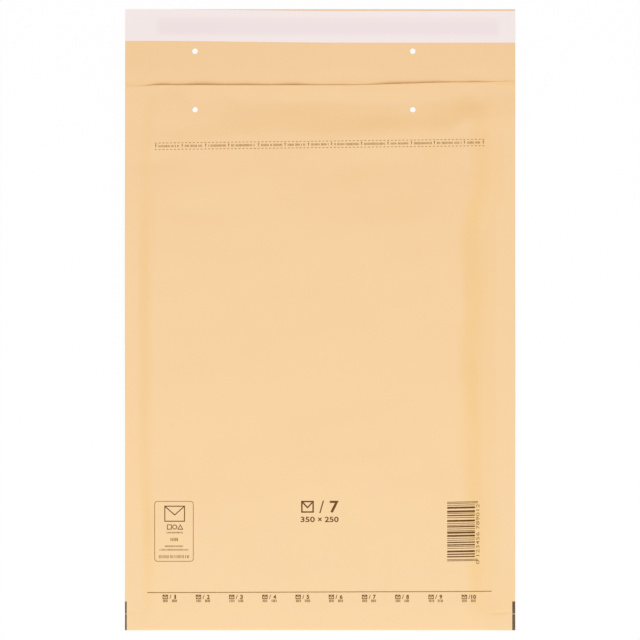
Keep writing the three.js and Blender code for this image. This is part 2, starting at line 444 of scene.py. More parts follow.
fibreLook = {
    "clouds": 260,  # scale of the cloudy formation
    "cloudRoughness": 0.62,
    "runs": ((0.16, 4, 5200), (0.22, -24, 4300), (0.24, 31, 4700)),  # stretch, turn and scale
    "fibres": (0.44, 0.78),  # levels of noise that become none and full
    "strandRun": (0.13, 13, 2100),
    "strands": (0.70, 0.76),
    "heights": (0.7, 0.5),  # shares of fibres and clouds in the relief
}


def makeFibreGroup():  # paper: cloudy formation, fine crossing fibres, and a few dark strands
    group = bpy.data.node_groups.new("paperFibres", "ShaderNodeTree")
    group.interface.new_socket(name="Vector", in_out="INPUT", socket_type="NodeSocketVector")
    for name in ("Clouds", "Fibres", "Strands", "Height"):
        group.interface.new_socket(name=name, in_out="OUTPUT", socket_type="NodeSocketFloat")
    nodes = Nodes(group)
    vector = nodes.add("NodeGroupInput").outputs["Vector"]

    def run(along, turn, scale, detail):  # stretched noise
        return nodes.noise(nodes.stretch(vector, along, turn), scale, detail)

    clouds = nodes.noise(vector, fibreLook["clouds"], 4, fibreLook["cloudRoughness"])
    lengthwise, slanting, crossing = (run(*one, 3) for one in fibreLook["runs"])
    fibres = nodes.math("MAXIMUM", nodes.math("MAXIMUM", lengthwise, slanting), crossing)
    fibres = nodes.between(fibres, *fibreLook["fibres"])
    strands = nodes.between(run(*fibreLook["strandRun"], 1), *fibreLook["strands"])
    fibreShare, cloudShare = fibreLook["heights"]
    height = nodes.weigh(fibres, fibreShare, clouds, cloudShare)
    ends = nodes.add("NodeGroupOutput")
    nodes.feed(ends, Clouds=clouds, Fibres=fibres, Strands=strands, Height=height)
    return group


fibreGroup = makeFibreGroup()


def startMaterial(name):  # a material with its shader and its object coordinates
    material = bpy.data.materials.new(name)
    material.use_nodes = True
    nodes = Nodes(material.node_tree)
    shader = material.node_tree.nodes["Principled BSDF"]
    place = nodes.add("ShaderNodeTexCoord").outputs["Object"]
    return material, nodes, shader, place


def finishShader(nodes, shader, look, tint, roughness, height):  # colour, roughness and relief
    bump = nodes.add("ShaderNodeBump")
    nodes.feed(bump, Height=height, Strength=look["bump"], Distance=look["depth"])
    nodes.feed(shader, Base_Color=tint, Roughness=roughness, Normal=bump.outputs["Normal"])


def addFibres(nodes, place):  # the shared paper group, on a material's own coordinates
    fibres = nodes.add("ShaderNodeGroup", node_tree=fibreGroup)
    return nodes.feed(fibres, Vector=place).outputs


kraftLook = {
    "pale": colour(246.5, 211, 164.5),
    "deep": colour(243.5, 207, 159.5),
    "tone": (0.55, 0.3),  # shares of clouds and fibres between deep and pale
    "strand": colour(226, 182, 132),
    "strandShare": 0.16,
    "paintedShadeTint": (0.99, 0.965, 0.835, 1),  # painted shade: what a slope, and the flap just under the lip, is multiplied by: it looks more golden
    "roughness": (0.82, 0.66),  # between the fibres and on them
    "gloss": 0.28,
    "bump": 0.35,
    "depth": 0.00005,
}


def makeKraft():  # clouds and fibres from deep to pale, a few strands, and painted shade that makes slopes and the flap under the lip more golden
    material, nodes, shader, place = startMaterial("kraftPaper")
    paper = addFibres(nodes, place)
    cloudShare, fibreShare = kraftLook["tone"]
    tone = nodes.weigh(paper["Clouds"], cloudShare, paper["Fibres"], fibreShare)
    ground = nodes.blend(tone, kraftLook["deep"], kraftLook["pale"])
    strands = nodes.math("MULTIPLY", paper["Strands"], kraftLook["strandShare"])
    flecked = nodes.blend(strands, ground, kraftLook["strand"])
    # painted shade: slopes and the flap under the lip are multiplied towards gold
    paintedShade = nodes.add("ShaderNodeAttribute", attribute_name="paintedShade").outputs["Fac"]
    withPaintedShade = nodes.blend(paintedShade, flecked, kraftLook["paintedShadeTint"], "MULTIPLY")
    roughness = nodes.between(paper["Fibres"], 0, 1, *kraftLook["roughness"])
    finishShader(nodes, shader, kraftLook, withPaintedShade, roughness, paper["Height"])
    nodes.feed(shader, Specular_IOR_Level=kraftLook["gloss"])
    return material


inkLook = {
    "clouds": (0.35, 0.7),  # levels of the paper's clouds from solid to thin ink
    "fibres": (0.55, 1),  # levels of its fibres from inked to missed
    "missed": 0.3,
    "roughness": 0.7,
    "gloss": 0.25,
    "bump": 0.3,
    "depth": 0.00005,
}
inkColours = {  # solid ink, thin ink, and the fibres that it misses
    "brownInk": (colour(95, 55, 8), colour(119, 80, 26), colour(216, 172, 108)),
    "fineInk": (colour(150, 108, 48), colour(167, 125, 66), colour(224, 182, 126)),
    "greyInk": (colour(92, 72, 58), colour(113, 92, 76), colour(206, 172, 128)),
}


def makeInk(name):  # thinner in clouds, and missing from some of the paper's fibres
    material, nodes, shader, place = startMaterial(name)
    paper = addFibres(nodes, place)
    solid, thin, bare = inkColours[name]
    worn = nodes.blend(nodes.between(paper["Clouds"], *inkLook["clouds"]), solid, thin)
    missed = nodes.math("MULTIPLY", nodes.between(paper["Fibres"], *inkLook["fibres"]), inkLook["missed"])
    tint = nodes.blend(missed, worn, bare)
    finishShader(nodes, shader, inkLook, tint, inkLook["roughness"], paper["Height"])
    nodes.feed(shader, Specular_IOR_Level=inkLook["gloss"])
    return material


linerLook = {
    "paper": colour(247, 238, 238.5),
    "shade": colour(244, 235, 235.5),
    "overGlue": colour(240, 229, 231),
    "glueShare": 0.9,
    "bandSoftness": 4.5,
    "bandSlope": -0.005,  # it runs a little downhill to the right
    "roughness": (0.5, 0.4),
    "gloss": 0.4,
    "bump": 0.15,
    "depth": 0.00003,
}


def makeLinerPaper():  # the glue shows through as a faint band with soft edges
    material, nodes, shader, place = startMaterial("linerPaper")
    paper = addFibres(nodes, place)
    ground = nodes.blend(paper["Clouds"], linerLook["shade"], linerLook["paper"])
    spot = nodes.feed(nodes.add("ShaderNodeSeparateXYZ"), Vector=place).outputs
    drift = nodes.math("MULTIPLY", spot["X"], linerLook["bandSlope"])
    level = nodes.math("SUBTRACT", spot["Y"], drift)
    soft = linerLook["bandSoftness"] / 2
    band = linerLook["glueShare"]
    for axis, value in ((0, spot["X"]), (1, level)):
        low, high = glueLow[axis], glueHigh[axis]
        rising = nodes.between(value, (low - soft) * mm, (low + soft) * mm)
        falling = nodes.between(value, (high + soft) * mm, (high - soft) * mm)
        band = nodes.math("MULTIPLY", nodes.math("MULTIPLY", rising, falling), band)
    tint = nodes.blend(band, ground, linerLook["overGlue"])
    roughness = nodes.between(paper["Fibres"], 0, 1, *linerLook["roughness"])
    finishShader(nodes, shader, linerLook, tint, roughness, paper["Height"])
    nodes.feed(shader, Specular_IOR_Level=linerLook["gloss"])
    return material


filmLook = {
    "film": colour(232, 238, 241),
    "haze": colour(214, 223, 228),
    "hazeScale": 180,
    "roughness": (0.3, 0.7, 0.16, 0.3),  # levels of haze, and the roughness at each
    "clearness": 0.12,
    "refraction": 1.5,
    "wrinkles": 900,
    "bump": 0.2,
    "depth": 0.00004,
}


def makeFilm():  # clear polythene, a little hazy where it is drawn thin
    material, nodes, shader, place = startMaterial("bubbleFilm")
    haze = nodes.noise(place, filmLook["hazeScale"], 3)
    tint = nodes.blend(haze, filmLook["film"], filmLook["haze"])
    roughness = nodes.between(haze, *filmLook["roughness"])
    finishShader(nodes, shader, filmLook, tint, roughness, nodes.noise(place, filmLook["wrinkles"]))
    nodes.feed(shader, Transmission_Weight=filmLook["clearness"], IOR=filmLook["refraction"])
    return material


glueLook = {
    "pale": colour(240, 226, 198),
    "amber": colour(226, 202, 160),
    "stretch": 0.03,
    "lines": 1400,
    "roughness": (0.3, 0.7, 0.25, 0.4),
    "bump": 0.4,
    "depth": 0.00003,
}


def makeGlue():  # hot-melt glue laid down in fine lengthwise lines
    material, nodes, shader, place = startMaterial("hotMeltGlue")
    lines = nodes.noise(nodes.stretch(place, glueLook["stretch"]), glueLook["lines"])
    tint = nodes.blend(lines, glueLook["amber"], glueLook["pale"])
    finishShader(nodes, shader, glueLook, tint, nodes.between(lines, *glueLook["roughness"]), lines)
    return material


kraft, linerPaper, film, glue = makeKraft(), makeLinerPaper(), makeFilm(), makeGlue()
brownInk, fineInk, greyInk = (makeInk(name) for name in inkColours)
print("materials made")

# Grid lines with room for the clip holes

holes = {
    "radius": 1.75,
    "acrossAt": (-80.15, 59.35),
    "bodyAt": mouthLine - 16.5,
    "flapAt": mouthLine + 21,
    "lines": np.array([0, 0.4, 0.8, 1.2, 1.7, 2.4, 3.4, 4.8]),  # grid lines beside a centre
    "ring": 1.2,  # the square of lines that is rounded out to the hole
    "clear": 0.5,  # from the last of those lines to the next of the grid
}


def linesRoundHoles(lines, centres):  # lines near a centre make way for the finer ones beside it
    centres = np.asarray(centres)
    apart = np.abs(lines[:, None] - centres).min(axis=1)
    kept = lines[apart > holes["lines"][-1] + holes["clear"]]
    offsets = np.concatenate([-holes["lines"][:0:-1], holes["lines"]])
    return np.sort(np.concatenate([kept, (centres[:, None] + offsets).ravel()]))


def roundHoles(x, y, rowAt):  # square rings round a centre become circles, fading out at the last line
    ring, reach = holes["ring"], holes["lines"][-1]
    for acrossAt in holes["acrossAt"]:
        dx, dy = x - acrossAt, y - rowAt
        size = np.maximum(np.abs(dx), np.abs(dy))
        share = np.clip((size - ring) / (reach - ring), 0, 1)
        toCircle = holes["radius"] * np.minimum(size / ring, 1) / np.maximum(np.hypot(dx, dy), tiny)
        scale = np.where(size < reach, mix(toCircle, 1, share), 1)
        x, y = acrossAt + dx * scale, rowAt + dy * scale
    return x, y


def outsideHoles(columns, rows, rowAt):  # False for the cells of a grid that a hole takes away
    middleX = (columns[1:] + columns[:-1]) / 2
    middleY = (rows[1:] + rows[:-1]) / 2
    across = np.abs(middleX[:, None] - np.array(holes["acrossAt"])).min(axis=1) < holes["ring"]
    along = np.abs(middleY - rowAt) < holes["ring"]
    return ~(along[:, None] & across)


# Kraft cover: one sheet, from the front's free edge round the bottom fold to the flap's tip

cover = {
    "paper": 0.14,
    "padAcross": (-104, 86),  # between the finer columns of the two seams
    "padAlong": (-165, 90),  # between the finer rows of the bottom and the mouth
    "leftColumns": 1.1,  # distance between grid lines
    "padColumns": 3.0,
    "rightColumns": 1.32,
    "topRows": 1.4,
    "padRows": 3.4,
    "bottomRows": 0.7,
    "backRows": 7,
    "flapRows": 1.8,
    "foldTurns": 14,
    "edgeWaver": 0.05,
    "waverLengths": (50, 37),  # for a radian, along x and y
    "waverFrom": 110,
    "mouthAt": -0.8,  # where the front's free edge lies at the left, and how that changes along it
    "mouthMoves": ((1.9, 10, 95), (0.7, 100, halfWidth), (-0.6, -104, -116)),
    "mouthOver": 10,  # rows this near to it move with it
    "fullShadeSlope": 0.29,  # slope that gets the full painted shade
    "turnedOver": (0.7, 1.6),  # slopes from which the sheet turns over, and no longer counts
    "leastUpright": 0.1,  # part of a normal, so that no slope is endless
    "shadeWeight": (0.7, 1.2),  # weight of a slope's painted shade on the left and on the right
    "shadeWeightOver": (-110, 90),
    "lipShade": 1.7,  # how far the painted shadow under the lip reaches up the flap
    "lipGrowth": [(0.8, 15, 70)],  # and how much further on the right
}
bottomRows = steps(foldStart, cover["padAlong"][0], cover["bottomRows"])


def mouthShift(x):  # the free edge of the front isn't quite square to the sides
    return cover["mouthAt"] + eases(x, cover["mouthMoves"])


def coverPart(x, y, height):  # points of the sheet; its cut sides are straight but for a small sine wave
    lengthX, lengthY = cover["waverLengths"]
    waver = cover["edgeWaver"] * np.sin(y / lengthY + x / lengthX)
    return np.stack([x + waver * ease(np.abs(x), cover["waverFrom"], halfWidth), y, height(x, y)], axis=-1)


def bendOf(points, normals):  # painted shade: more for the sheet's slope, and a painted shadow as a bell curve up the flap from the mouth
    x, y = points[..., 0], points[..., 1]
    upright = np.maximum(np.abs(normals[..., 2]), cover["leastUpright"])
    slope = np.hypot(normals[..., 0], normals[..., 1]) / upright
    shadeWeight = mix(*cover["shadeWeight"], ease(x, *cover["shadeWeightOver"]))
    slopeShade = shadeWeight * slope / cover["fullShadeSlope"] * (1 - ease(slope, *cover["turnedOver"]))
    reach = cover["lipShade"] * (1 + eases(x, cover["lipGrowth"]))
    lipShadow = hump(y, mouthLine, reach) * (y >= mouthLine)
    return np.clip(np.maximum(slopeShade, lipShadow), 0, 1)[..., None]


def coverColumns():  # fine in both seams, wider over the pad
    low, high = cover["padAcross"]
    left = steps(-halfWidth, low, cover["leftColumns"])
    middle = steps(low, high, cover["padColumns"])
    right = steps(high, halfWidth, cover["rightColumns"])
    return linesRoundHoles(np.unique(np.concatenate([left, middle, right])), holes["acrossAt"])


def bodyRows(padStep):  # fine at the bottom and at the mouth, wider between them
    low, high = cover["padAlong"]
    top = steps(high, mouthLine, cover["topRows"])
    middle = steps(low, high, padStep)
    return linesRoundHoles(np.unique(np.concatenate([bottomRows, middle, top])), [holes["bodyAt"]])


def makeCover():  # front, fold, back and flap as one grid, with the paper's thickness put on inwards
    columns = coverColumns()
    frontRows = bodyRows(cover["padRows"])[::-1]
    backRows = bodyRows(cover["backRows"])
    flapRows = linesRoundHoles(steps(mouthLine, flapTip, cover["flapRows"])[1:], [holes["flapAt"]])

    x, y = roundHoles(*np.meshgrid(columns, frontRows), holes["bodyAt"])
    y = y + mouthShift(x) * ease(y, mouthLine - cover["mouthOver"], mouthLine)
    front = coverPart(x, y, frontHeight)
    back = coverPart(*roundHoles(*np.meshgrid(columns, backRows), holes["bodyAt"]), backHeight)
    flap = coverPart(*roundHoles(*np.meshgrid(columns, flapRows), holes["flapAt"]), flapHeight)
    fold = roundFold(front[-1], back[0], padding["foldReach"], cover["foldTurns"])

    outer = np.concatenate([front, fold, back, flap])
    whole = np.ones((cover["foldTurns"], len(columns) - 1), bool)
    keep = np.concatenate([
        outsideHoles(columns, frontRows, holes["bodyAt"]), whole,
        outsideHoles(columns, backRows, holes["bodyAt"]), whole[:1],
        outsideHoles(columns, flapRows, holes["flapAt"]),
    ])
    normals = sheetNormals(outer)
    inner = outer - cover["paper"] * normals
    # a fourth column holds the painted shade at each point, for the kraft material
    outer, inner = (np.concatenate([layer, bendOf(outer, normals)], axis=-1) for layer in (outer, inner))
    piece = makePiece("kraftCover", *shell(outer, inner, gridQuads(*outer.shape[:2], keep)), kraft)
    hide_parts("kraft_cover")


makeCover()

# Bubble lining: one folded film, flat towards the pocket and domed towards the papers

lining = {
    "film": 0.18,
    "gap": 0.02,  # to the papers, and the same in the bottom fold
    "foldGap": 0.14,
    "innerReach": 0.3,  # depth of the fold's inner face
    "pocket": 0.7,  # between the two leaves, or this share of the room where that is less
    "pocketShare": 0.12,
    "pitch": 10,
    "bubble": 4.75,  # radius of a bubble
    "leafShift": 2.5,  # of the bubbles, up on the back leaf and down on the front
    "columns": 1.75,
    "rows": 2.75,
    "creased": (-190.5, -184.5),  # the cover's own rows are used here
    "foldTurns": 8,
    "edgeWaves": ((0.35, 7.3), (0.21, 2.9)),  # height, and length for a radian, along the free edge
    "edgeDrop": 0.6,
    "edgeOver": 8,
    "sideInset": 0.25,
    "sharpAngle": 50,
}


def bubbles(x, y):  # domes on a hexagonal pattern: two oblong lattices, half a cell apart
    wide, tall = lining["pitch"], lining["pitch"] * math.sqrt(3)
    toCentre = []
    for startX, startY in ((0, 0), (wide / 2, tall / 2)):
        dx = (x - startX + wide / 2) % wide - wide / 2
        dy = (y - startY + tall / 2) % tall - tall / 2
        toCentre.append(np.hypot(dx, dy))
    nearest = np.minimum(*toCentre) / lining["bubble"]
    return np.sqrt(np.clip(1 - nearest**2, 0, 1))


def liningLeaf(x, y, side):  # outer and inner face of the front leaf (side 1) or the back leaf (-1)
    inset = cover["paper"] + lining["gap"]
    top, bottom = frontHeight(x, y) - inset, backHeight(x, y) + inset
    middle = (top + bottom) / 2
    half = (top - bottom) / 2
    pocket = np.minimum(lining["pocket"] / 2, lining["pocketShare"] * half)
    room = half - pocket
    thin = np.minimum(lining["film"], room)
    outside = pocket + thin + (room - thin) * bubbles(x, y + side * lining["leafShift"])
    return (np.stack([x, y, middle + side * outside], axis=-1),
            np.stack([x, y, middle + side * pocket], axis=-1))


def liningRows():  # even rows, apart from the creased stretch, which has the cover's
    low, high = lining["creased"]
    rows = steps(foldStart, liningTop, lining["rows"])
    creased = bottomRows[(bottomRows > low) & (bottomRows < high)]
    rows = np.concatenate([rows[rows < low], rows[rows > high], creased])
    return linesRoundHoles(rows, [holes["bodyAt"]])


def makeLining():  # front leaf, fold and back leaf as one grid, with a wavy free edge
    side = halfWidth - lining["sideInset"]
    columns = linesRoundHoles(steps(-side, side, lining["columns"]), holes["acrossAt"])
    rows = liningRows()
    x, y = roundHoles(*np.meshgrid(columns, rows), holes["bodyAt"])
    ragged = sum(height * np.sin(x / length) for height, length in lining["edgeWaves"])
    shift = ragged + mouthShift(x) - lining["edgeDrop"]
    y = y + shift * ease(y, mouthLine - lining["edgeOver"], liningTop)
    frontOuter, frontInner = (face[::-1] for face in liningLeaf(x, y, 1))
    backOuter, backInner = liningLeaf(x, y, -1)

    turns = lining["foldTurns"]
    outerReach = padding["foldReach"] - cover["paper"] - lining["foldGap"]
    outerFold = roundFold(frontOuter[-1], backOuter[0], outerReach, turns)
    innerFold = roundFold(frontInner[-1], backInner[0], lining["innerReach"], turns)
    outer = np.concatenate([frontOuter, outerFold, backOuter])
    inner = np.concatenate([frontInner, innerFold, backInner])
    leaf = outsideHoles(columns, rows, holes["bodyAt"])
    keep = np.concatenate([leaf[::-1], np.ones((turns, len(columns) - 1), bool), leaf])
    sheet = shell(outer, inner, gridQuads(*outer.shape[:2], keep))
    piece = makePiece("bubbleLining", *sheet, film, lining["sharpAngle"])
    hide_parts("bubble_lining")


makeLining()

# Glue band and release liner on the flap

glueBand = {
    "lift": 0.005,
    "height": 0.1,
    "edgeShare": 0.15,  # share of the height at its long edges
    "columns": 4,
    "rows": 14,
    "roundness": 8,
}


def flapTop(x, y):  # upper face of the flap's paper
    return flapHeight(x, y) + cover["paper"]


def makeGlueBand():  # a low band whose height follows a flat-topped power curve across it
    columns = steps(glueLow[0], glueHigh[0], glueBand["columns"])
    rows = np.linspace(glueHigh[1], glueLow[1], glueBand["rows"] + 1)
    x, y = np.meshgrid(columns, rows)
    aside = (y - (glueLow[1] + glueHigh[1]) / 2) / ((glueHigh[1] - glueLow[1]) / 2)
    height = glueBand["height"] * mix(1, glueBand["edgeShare"], np.abs(aside) ** glueBand["roundness"])
    ground = flapTop(x, y) + glueBand["lift"]
    outer, inner = (np.stack([x, y, z], axis=-1) for z in (ground + height, ground))
    piece = makePiece("glueBand", *shell(outer, inner, gridQuads(*x.shape)), glue)
    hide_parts("flap_glue")


linerStrip = {
    "paper": 0.08,
    "lift": 0.03,
    "columns": 2.2,
    "rows": 22,
    "wider": 0.2,  # on either side
    "askew": (0.64, -0.49),  # its left part was laid on a little high, its right part low
    "askewOver": (-115, 20),
    "waver": 0.05,
    "waverLengths": (17, 9),  # for a radian, along x and y
    "glueSlope": 1.2,
}


def overGlue(x, y):  # 1 over the glue band, falling away past its edges
    over = 1
    for axis, value in enumerate((x, y)):
        low, high, slope = glueLow[axis], glueHigh[axis], linerStrip["glueSlope"]
        over = over * plateau(value, (low - slope, low), (high, high + slope))
    return over


def makeLinerStrip():  # lies on the flap, steps up over the glue, and wavers a little
    columns = steps(linerLow[0], linerHigh[0], linerStrip["columns"])
    top, bottom = linerHigh[1] + linerStrip["wider"], linerLow[1] - linerStrip["wider"]
    x, y = np.meshgrid(columns, np.linspace(top, bottom, linerStrip["rows"] + 1))
    y = y + mix(*linerStrip["askew"], ease(x, *linerStrip["askewOver"]))
    lengthX, lengthY = linerStrip["waverLengths"]
    waver = linerStrip["waver"] * (1 + np.sin(x / lengthX + y / lengthY)) / 2
    raised = overGlue(x, y) * (glueBand["height"] + glueBand["lift"])
    inner = np.stack([x, y, flapTop(x, y) + linerStrip["lift"] + waver + raised], axis=-1)
    outer = inner + linerStrip["paper"] * sheetNormals(inner)
    piece = makePiece("linerStrip", *shell(outer, inner, gridQuads(*x.shape)), linerPaper)
    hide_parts("release_liner")


makeGlueBand()
makeLinerStrip()

# Print: thin closed films of ink that lie on the front of the cover

inkFilm = {
    "lift": 0.035,
    "sink": 0.03,
    "step": 2.0,  # distance between points along a line
    "mitre": 0.5,  # limit for sharp corners
    "figureCurve": 4,  # points in each curve of a figure
    "figureDepth": 0.1,
    "pictureFlap": 0.58,  # how far down the small envelope its flap comes
}


def onCover(x, y):  # upper and lower face of the ink over points of the front
    top = coverTop(x, y)
    return (np.stack([x, y, top + inkFilm["lift"]], axis=-1),
            np.stack([x, y, top - inkFilm["sink"]], axis=-1))


def bar(left, low, right, high, slope=0, rowStep=inkFilm["step"]):  # an oblong, tilted by slope
    columns = steps(left, right, inkFilm["step"])
    rows = steps(high, low, rowStep)
    x, y = np.meshgrid(columns, rows)
    return shell(*onCover(x, y + slope * x), gridQuads(*x.shape))


def wedge(centre, middle, tall, top, foot):  # an upright tick that narrows downwards
    sides, rows = np.meshgrid([-0.5, 0.5], [0.5, 0, -0.5])
    x = centre + sides * mix(foot, top, rows + 0.5)
    return shell(*onCover(x, middle + rows * tall), gridQuads(*x.shape))


def stroke(points, width, closed=False):  # a line of even width along a path, mitred at its corners
    path = np.asarray(points, float)
    ahead = np.roll(path, -1, axis=0) - path
    behind = path - np.roll(path, 1, axis=0)
    if not closed:
        ahead[-1], behind[0] = behind[-1], ahead[0]
    normals = []
    for way in (ahead, behind):
        normals.append(np.stack([-way[:, 1], way[:, 0]], axis=1) / np.linalg.norm(way, axis=1)[:, None])
    mitre = normals[0] + normals[1]
    mitre = mitre / np.maximum((mitre * normals[0]).sum(axis=1), inkFilm["mitre"])[:, None]
    sides = np.stack([path + mitre * width / 2, path - mitre * width / 2])
    quads = gridQuads(2, len(path), around=closed)
    return shell(*onCover(sides[..., 0], sides[..., 1]), quads)


def finePath(points, closed=False):  # the same path with points about a step apart
    path = np.asarray(points, float)
    ends = np.roll(path, -1, axis=0) if closed else path[1:]
    pieces = []
    for start, end in zip(path, ends):
        count = max(1, round(np.linalg.norm(end - start) / inkFilm["step"]))
        pieces.append(start + (end - start) * np.arange(count)[:, None] / count)
    if not closed:
        pieces.append(path[-1:])
    return np.concatenate(pieces)


def figureMesh(words, weight):  # points and triangles of Blender's own figures, made thick
    curve = bpy.data.curves.new("figures", "FONT")
    curve.body = words
    curve.extrude = inkFilm["figureDepth"]
    curve.offset = weight
    curve.resolution_u = inkFilm["figureCurve"]
    text = bpy.data.objects.new("figures", curve)
    bpy.context.collection.objects.link(text)
    mesh = bpy.data.meshes.new_from_object(text.evaluated_get(bpy.context.evaluated_depsgraph_get()))
    solid = bmesh.new()
    solid.from_mesh(mesh)
    bmesh.ops.remove_doubles(solid, verts=solid.verts, dist=tiny)
    bmesh.ops.triangulate(solid, faces=solid.faces)
    solid.to_mesh(mesh)
    solid.free()
    points = np.empty(len(mesh.vertices) * 3)
    mesh.vertices.foreach_get("co", points)
    corners = np.empty(len(mesh.polygons) * 3, int)
    mesh.polygons.foreach_get("vertices", corners)
    bpy.data.objects.remove(text)
    bpy.data.curves.remove(curve)
    bpy.data.meshes.remove(mesh)
    return points.reshape(-1, 3), corners.reshape(-1, 3)


def numerals(words, left, low, right, high, weight, upright=False):  # figures stretched to fill a box
    points, corners = figureMesh(words, weight)
    flat = points[:, :2]
    if upright:
        flat = np.stack([-flat[:, 1], flat[:, 0]], axis=1)  # a quarter turn, to be read upwards
    flat = (flat - flat.min(axis=0)) / np.ptp(flat, axis=0) * (right - left, high - low) + (left, low)
    above, below = onCover(flat[:, 0], flat[:, 1])
    return np.where(points[:, 2:] > 0, above, below), corners


def asTriangles(points, faces):  # a face with four corners becomes two with three
    if faces.shape[1] == 3:
        return points, faces
    return points, np.concatenate([faces[:, [0, 1, 2]], faces[:, [0, 2, 3]]])


def printPiece(name, shells, ink=brownInk):  # all the marks of one print, in one ink
    piece = makePiece(name, *joinShells([asTriangles(*one) for one in shells]), ink)


def pictogram(left, low, right, high, width):  # an envelope: an oblong and the flap's two slants
    middle = ((left + right) / 2, mix(high, low, inkFilm["pictureFlap"]))
    box = finePath([(left, low), (right, low), (right, high), (left, high)], closed=True)
    flap = finePath([(left, high), middle, (right, high)])
    return [stroke(box, width, closed=True), stroke(flap, width)]


def arc(centre, radius, angles):  # points of a circle at the given angles
    return np.array(centre) + radius * np.stack([np.cos(angles), np.sin(angles)], axis=1)


def roundedBox(left, low, right, high, radius, corner=7):  # a closed path with quarter-circle corners
    turns = np.linspace(0, math.pi / 2, corner)
    centres = [(right - radius, high - radius), (left + radius, high - radius),
               (left + radius, low + radius), (right - radius, low + radius)]
    arcs = [arc(centre, radius, turns + k * math.pi / 2) for k, centre in enumerate(centres)]
    return finePath(np.concatenate(arcs), closed=True)


tear = {
    "left": -105.2,
    "right": 104.5,
    "middle": 112.2,
    "slope": 0.0118,
    "halfHeight": 2.08,
    "dash": 1.3,
    "pitch": 2.45,
    "line": 0.37,
    "cells": (16.9, 15.05, 14.7, 19.2),  # widths, repeated along the line
    "lastCell": 6,  # the last one is no narrower
    "tick": (2.0, 0.8, 0.3),  # height, and width at its top and foot
    "tickRaise": 0.2,
    "margins": (1.7, 2.0),  # room that the blocks leave at the left and right of a cell
    "blockWidth": (0.28, 0.48),
    "blockHalf": (0.55, 0.8),  # half heights
    "gaps": (0.34, 1.0),  # between two blocks: the usual one, and a wider one
    "widerShare": 0.08,
}


def makeTearLine():  # two dashed lines, with upright ticks and rows of small blocks between them
    shells = []
    slope = tear["slope"]
    for edge in (-1, 1):
        at = tear["middle"] + edge * tear["halfHeight"]
        for middle in steps(tear["left"], tear["right"], tear["pitch"]):
            left, right = middle - tear["dash"] / 2, middle + tear["dash"] / 2
            shells.append(bar(left, at - tear["line"] / 2, right, at + tear["line"] / 2, slope))
    ticks = [tear["left"]]
    while ticks[-1] + min(tear["cells"]) < tear["right"]:
        ticks.append(ticks[-1] + tear["cells"][(len(ticks) - 1) % len(tear["cells"])])
    ticks = [tick for tick in ticks if tick < tear["right"] - tear["lastCell"]] + [tear["right"]]
    for tick in ticks:
        shells.append(wedge(tick, tear["middle"] + tear["tickRaise"] + slope * tick, *tear["tick"]))
    before, after = tear["margins"]
    usual, wider = tear["gaps"]
    for start, end in zip(ticks[:-1], ticks[1:]):
        at = start + before
        while at < end - after:
            wide = chance.uniform(*tear["blockWidth"])
            tall = chance.uniform(*tear["blockHalf"])
            shells.append(bar(at, tear["middle"] - tall, at + wide, tear["middle"] + tall, slope))
            at += wide + (wider if chance.random() < tear["widerShare"] else usual)
    printPiece("tearLine", shells, fineInk)


blocks = {
    "widths": (0.7, 1.05),  # shares of the full width
    "wideGap": 2.2,  # a wider gap, in usual ones, and the share of such gaps
    "widerShare": 0.14,
    "slack": 0.01,
}


def blockRow(left, right, middle, height, wide, gap):  # small blocks of uneven width side by side
    shells, at = [], left
    while at + wide <= right + blocks["slack"]:
        size = wide * chance.uniform(*blocks["widths"])
        shells.append(bar(at, middle - height / 2, at + size, middle + height / 2))
        at += wide + gap * (blocks["wideGap"] if chance.random() < blocks["widerShare"] else 1)
    return shells


panel = {
    "frame": (-105.9, -154.7, -81.2, -116.3),  # left, low, right and high, as in every box below
    "radius": 1.8,
    "line": 0.42,
    "picture": (-99.4, -129.0, -86.8, -119.4),
    "pictureLine": 0.62,
    "square": (-97.8, -134.1, -95.2, -131.3),
    "ring": ((-93.1, -132.7), 1.35),
    "ringPoints": 20,
    "triangle": [(-91.0, -134.1), (-88.0, -134.1), (-89.5, -131.3)],
    "shapeLine": 0.5,
    "rows": (  # left, right, middle, and a block's height, width and gap
        (-98.3, -87.6, -136.3, 1.0, 0.42, 0.16),
        (-95.8, -90.6, -140.7, 2.0, 0.72, 0.3),
        (-99.3, -87.2, -145.0, 1.0, 0.46, 0.17),
        (-102.8, -83.8, -147.3, 1.0, 0.46, 0.17),
        (-103.2, -83.6, -151.7, 1.95, 0.5, 0.34),
    ),
}


def makePanel():  # a rounded frame round a small envelope, three shapes and rows of blocks
    shells = pictogram(*panel["picture"], panel["pictureLine"])
    left, low, right, high = panel["square"]
    square = [(left, low), (right, low), (right, high), (left, high)]
    ring = arc(*panel["ring"], np.linspace(0, 2 * math.pi, panel["ringPoints"], endpoint=False))
    shells += [stroke(path, panel["shapeLine"], closed=True) for path in (square, ring, panel["triangle"])]
    printPiece("panelPicture", shells)
    shells = [stroke(roundedBox(*panel["frame"], panel["radius"]), panel["line"], closed=True)]
    for row in panel["rows"]:
        shells += blockRow(*row)
    printPiece("framedPanel", shells, fineInk)


sizeMark = {
    "picture": (-11.7, -123.1, -4.5, -116.4),
    "pictureLine": 0.92,
    "slash": [(-0.2, -123.8), (2.1, -115.8)],
    "slashLine": 0.8,
    "figures": (
        ("7", 6.1, -123.6, 11.9, -115.9),
        ("350", -12.5, -129.6, -3.4, -126.1),
        ("×", -1.5, -129.1, 1.1, -126.5),
        ("250", 2.9, -129.6, 11.8, -126.1),
    ),
    "weight": 0.022,
}


def makeSizeMark():  # a small envelope, a slash and a figure, over the size in millimetres
    shells = pictogram(*sizeMark["picture"], sizeMark["pictureLine"])
    shells.append(stroke(finePath(sizeMark["slash"]), sizeMark["slashLine"]))
    shells += [numerals(*figure, sizeMark["weight"]) for figure in sizeMark["figures"]]
    printPiece("sizeMark", shells)


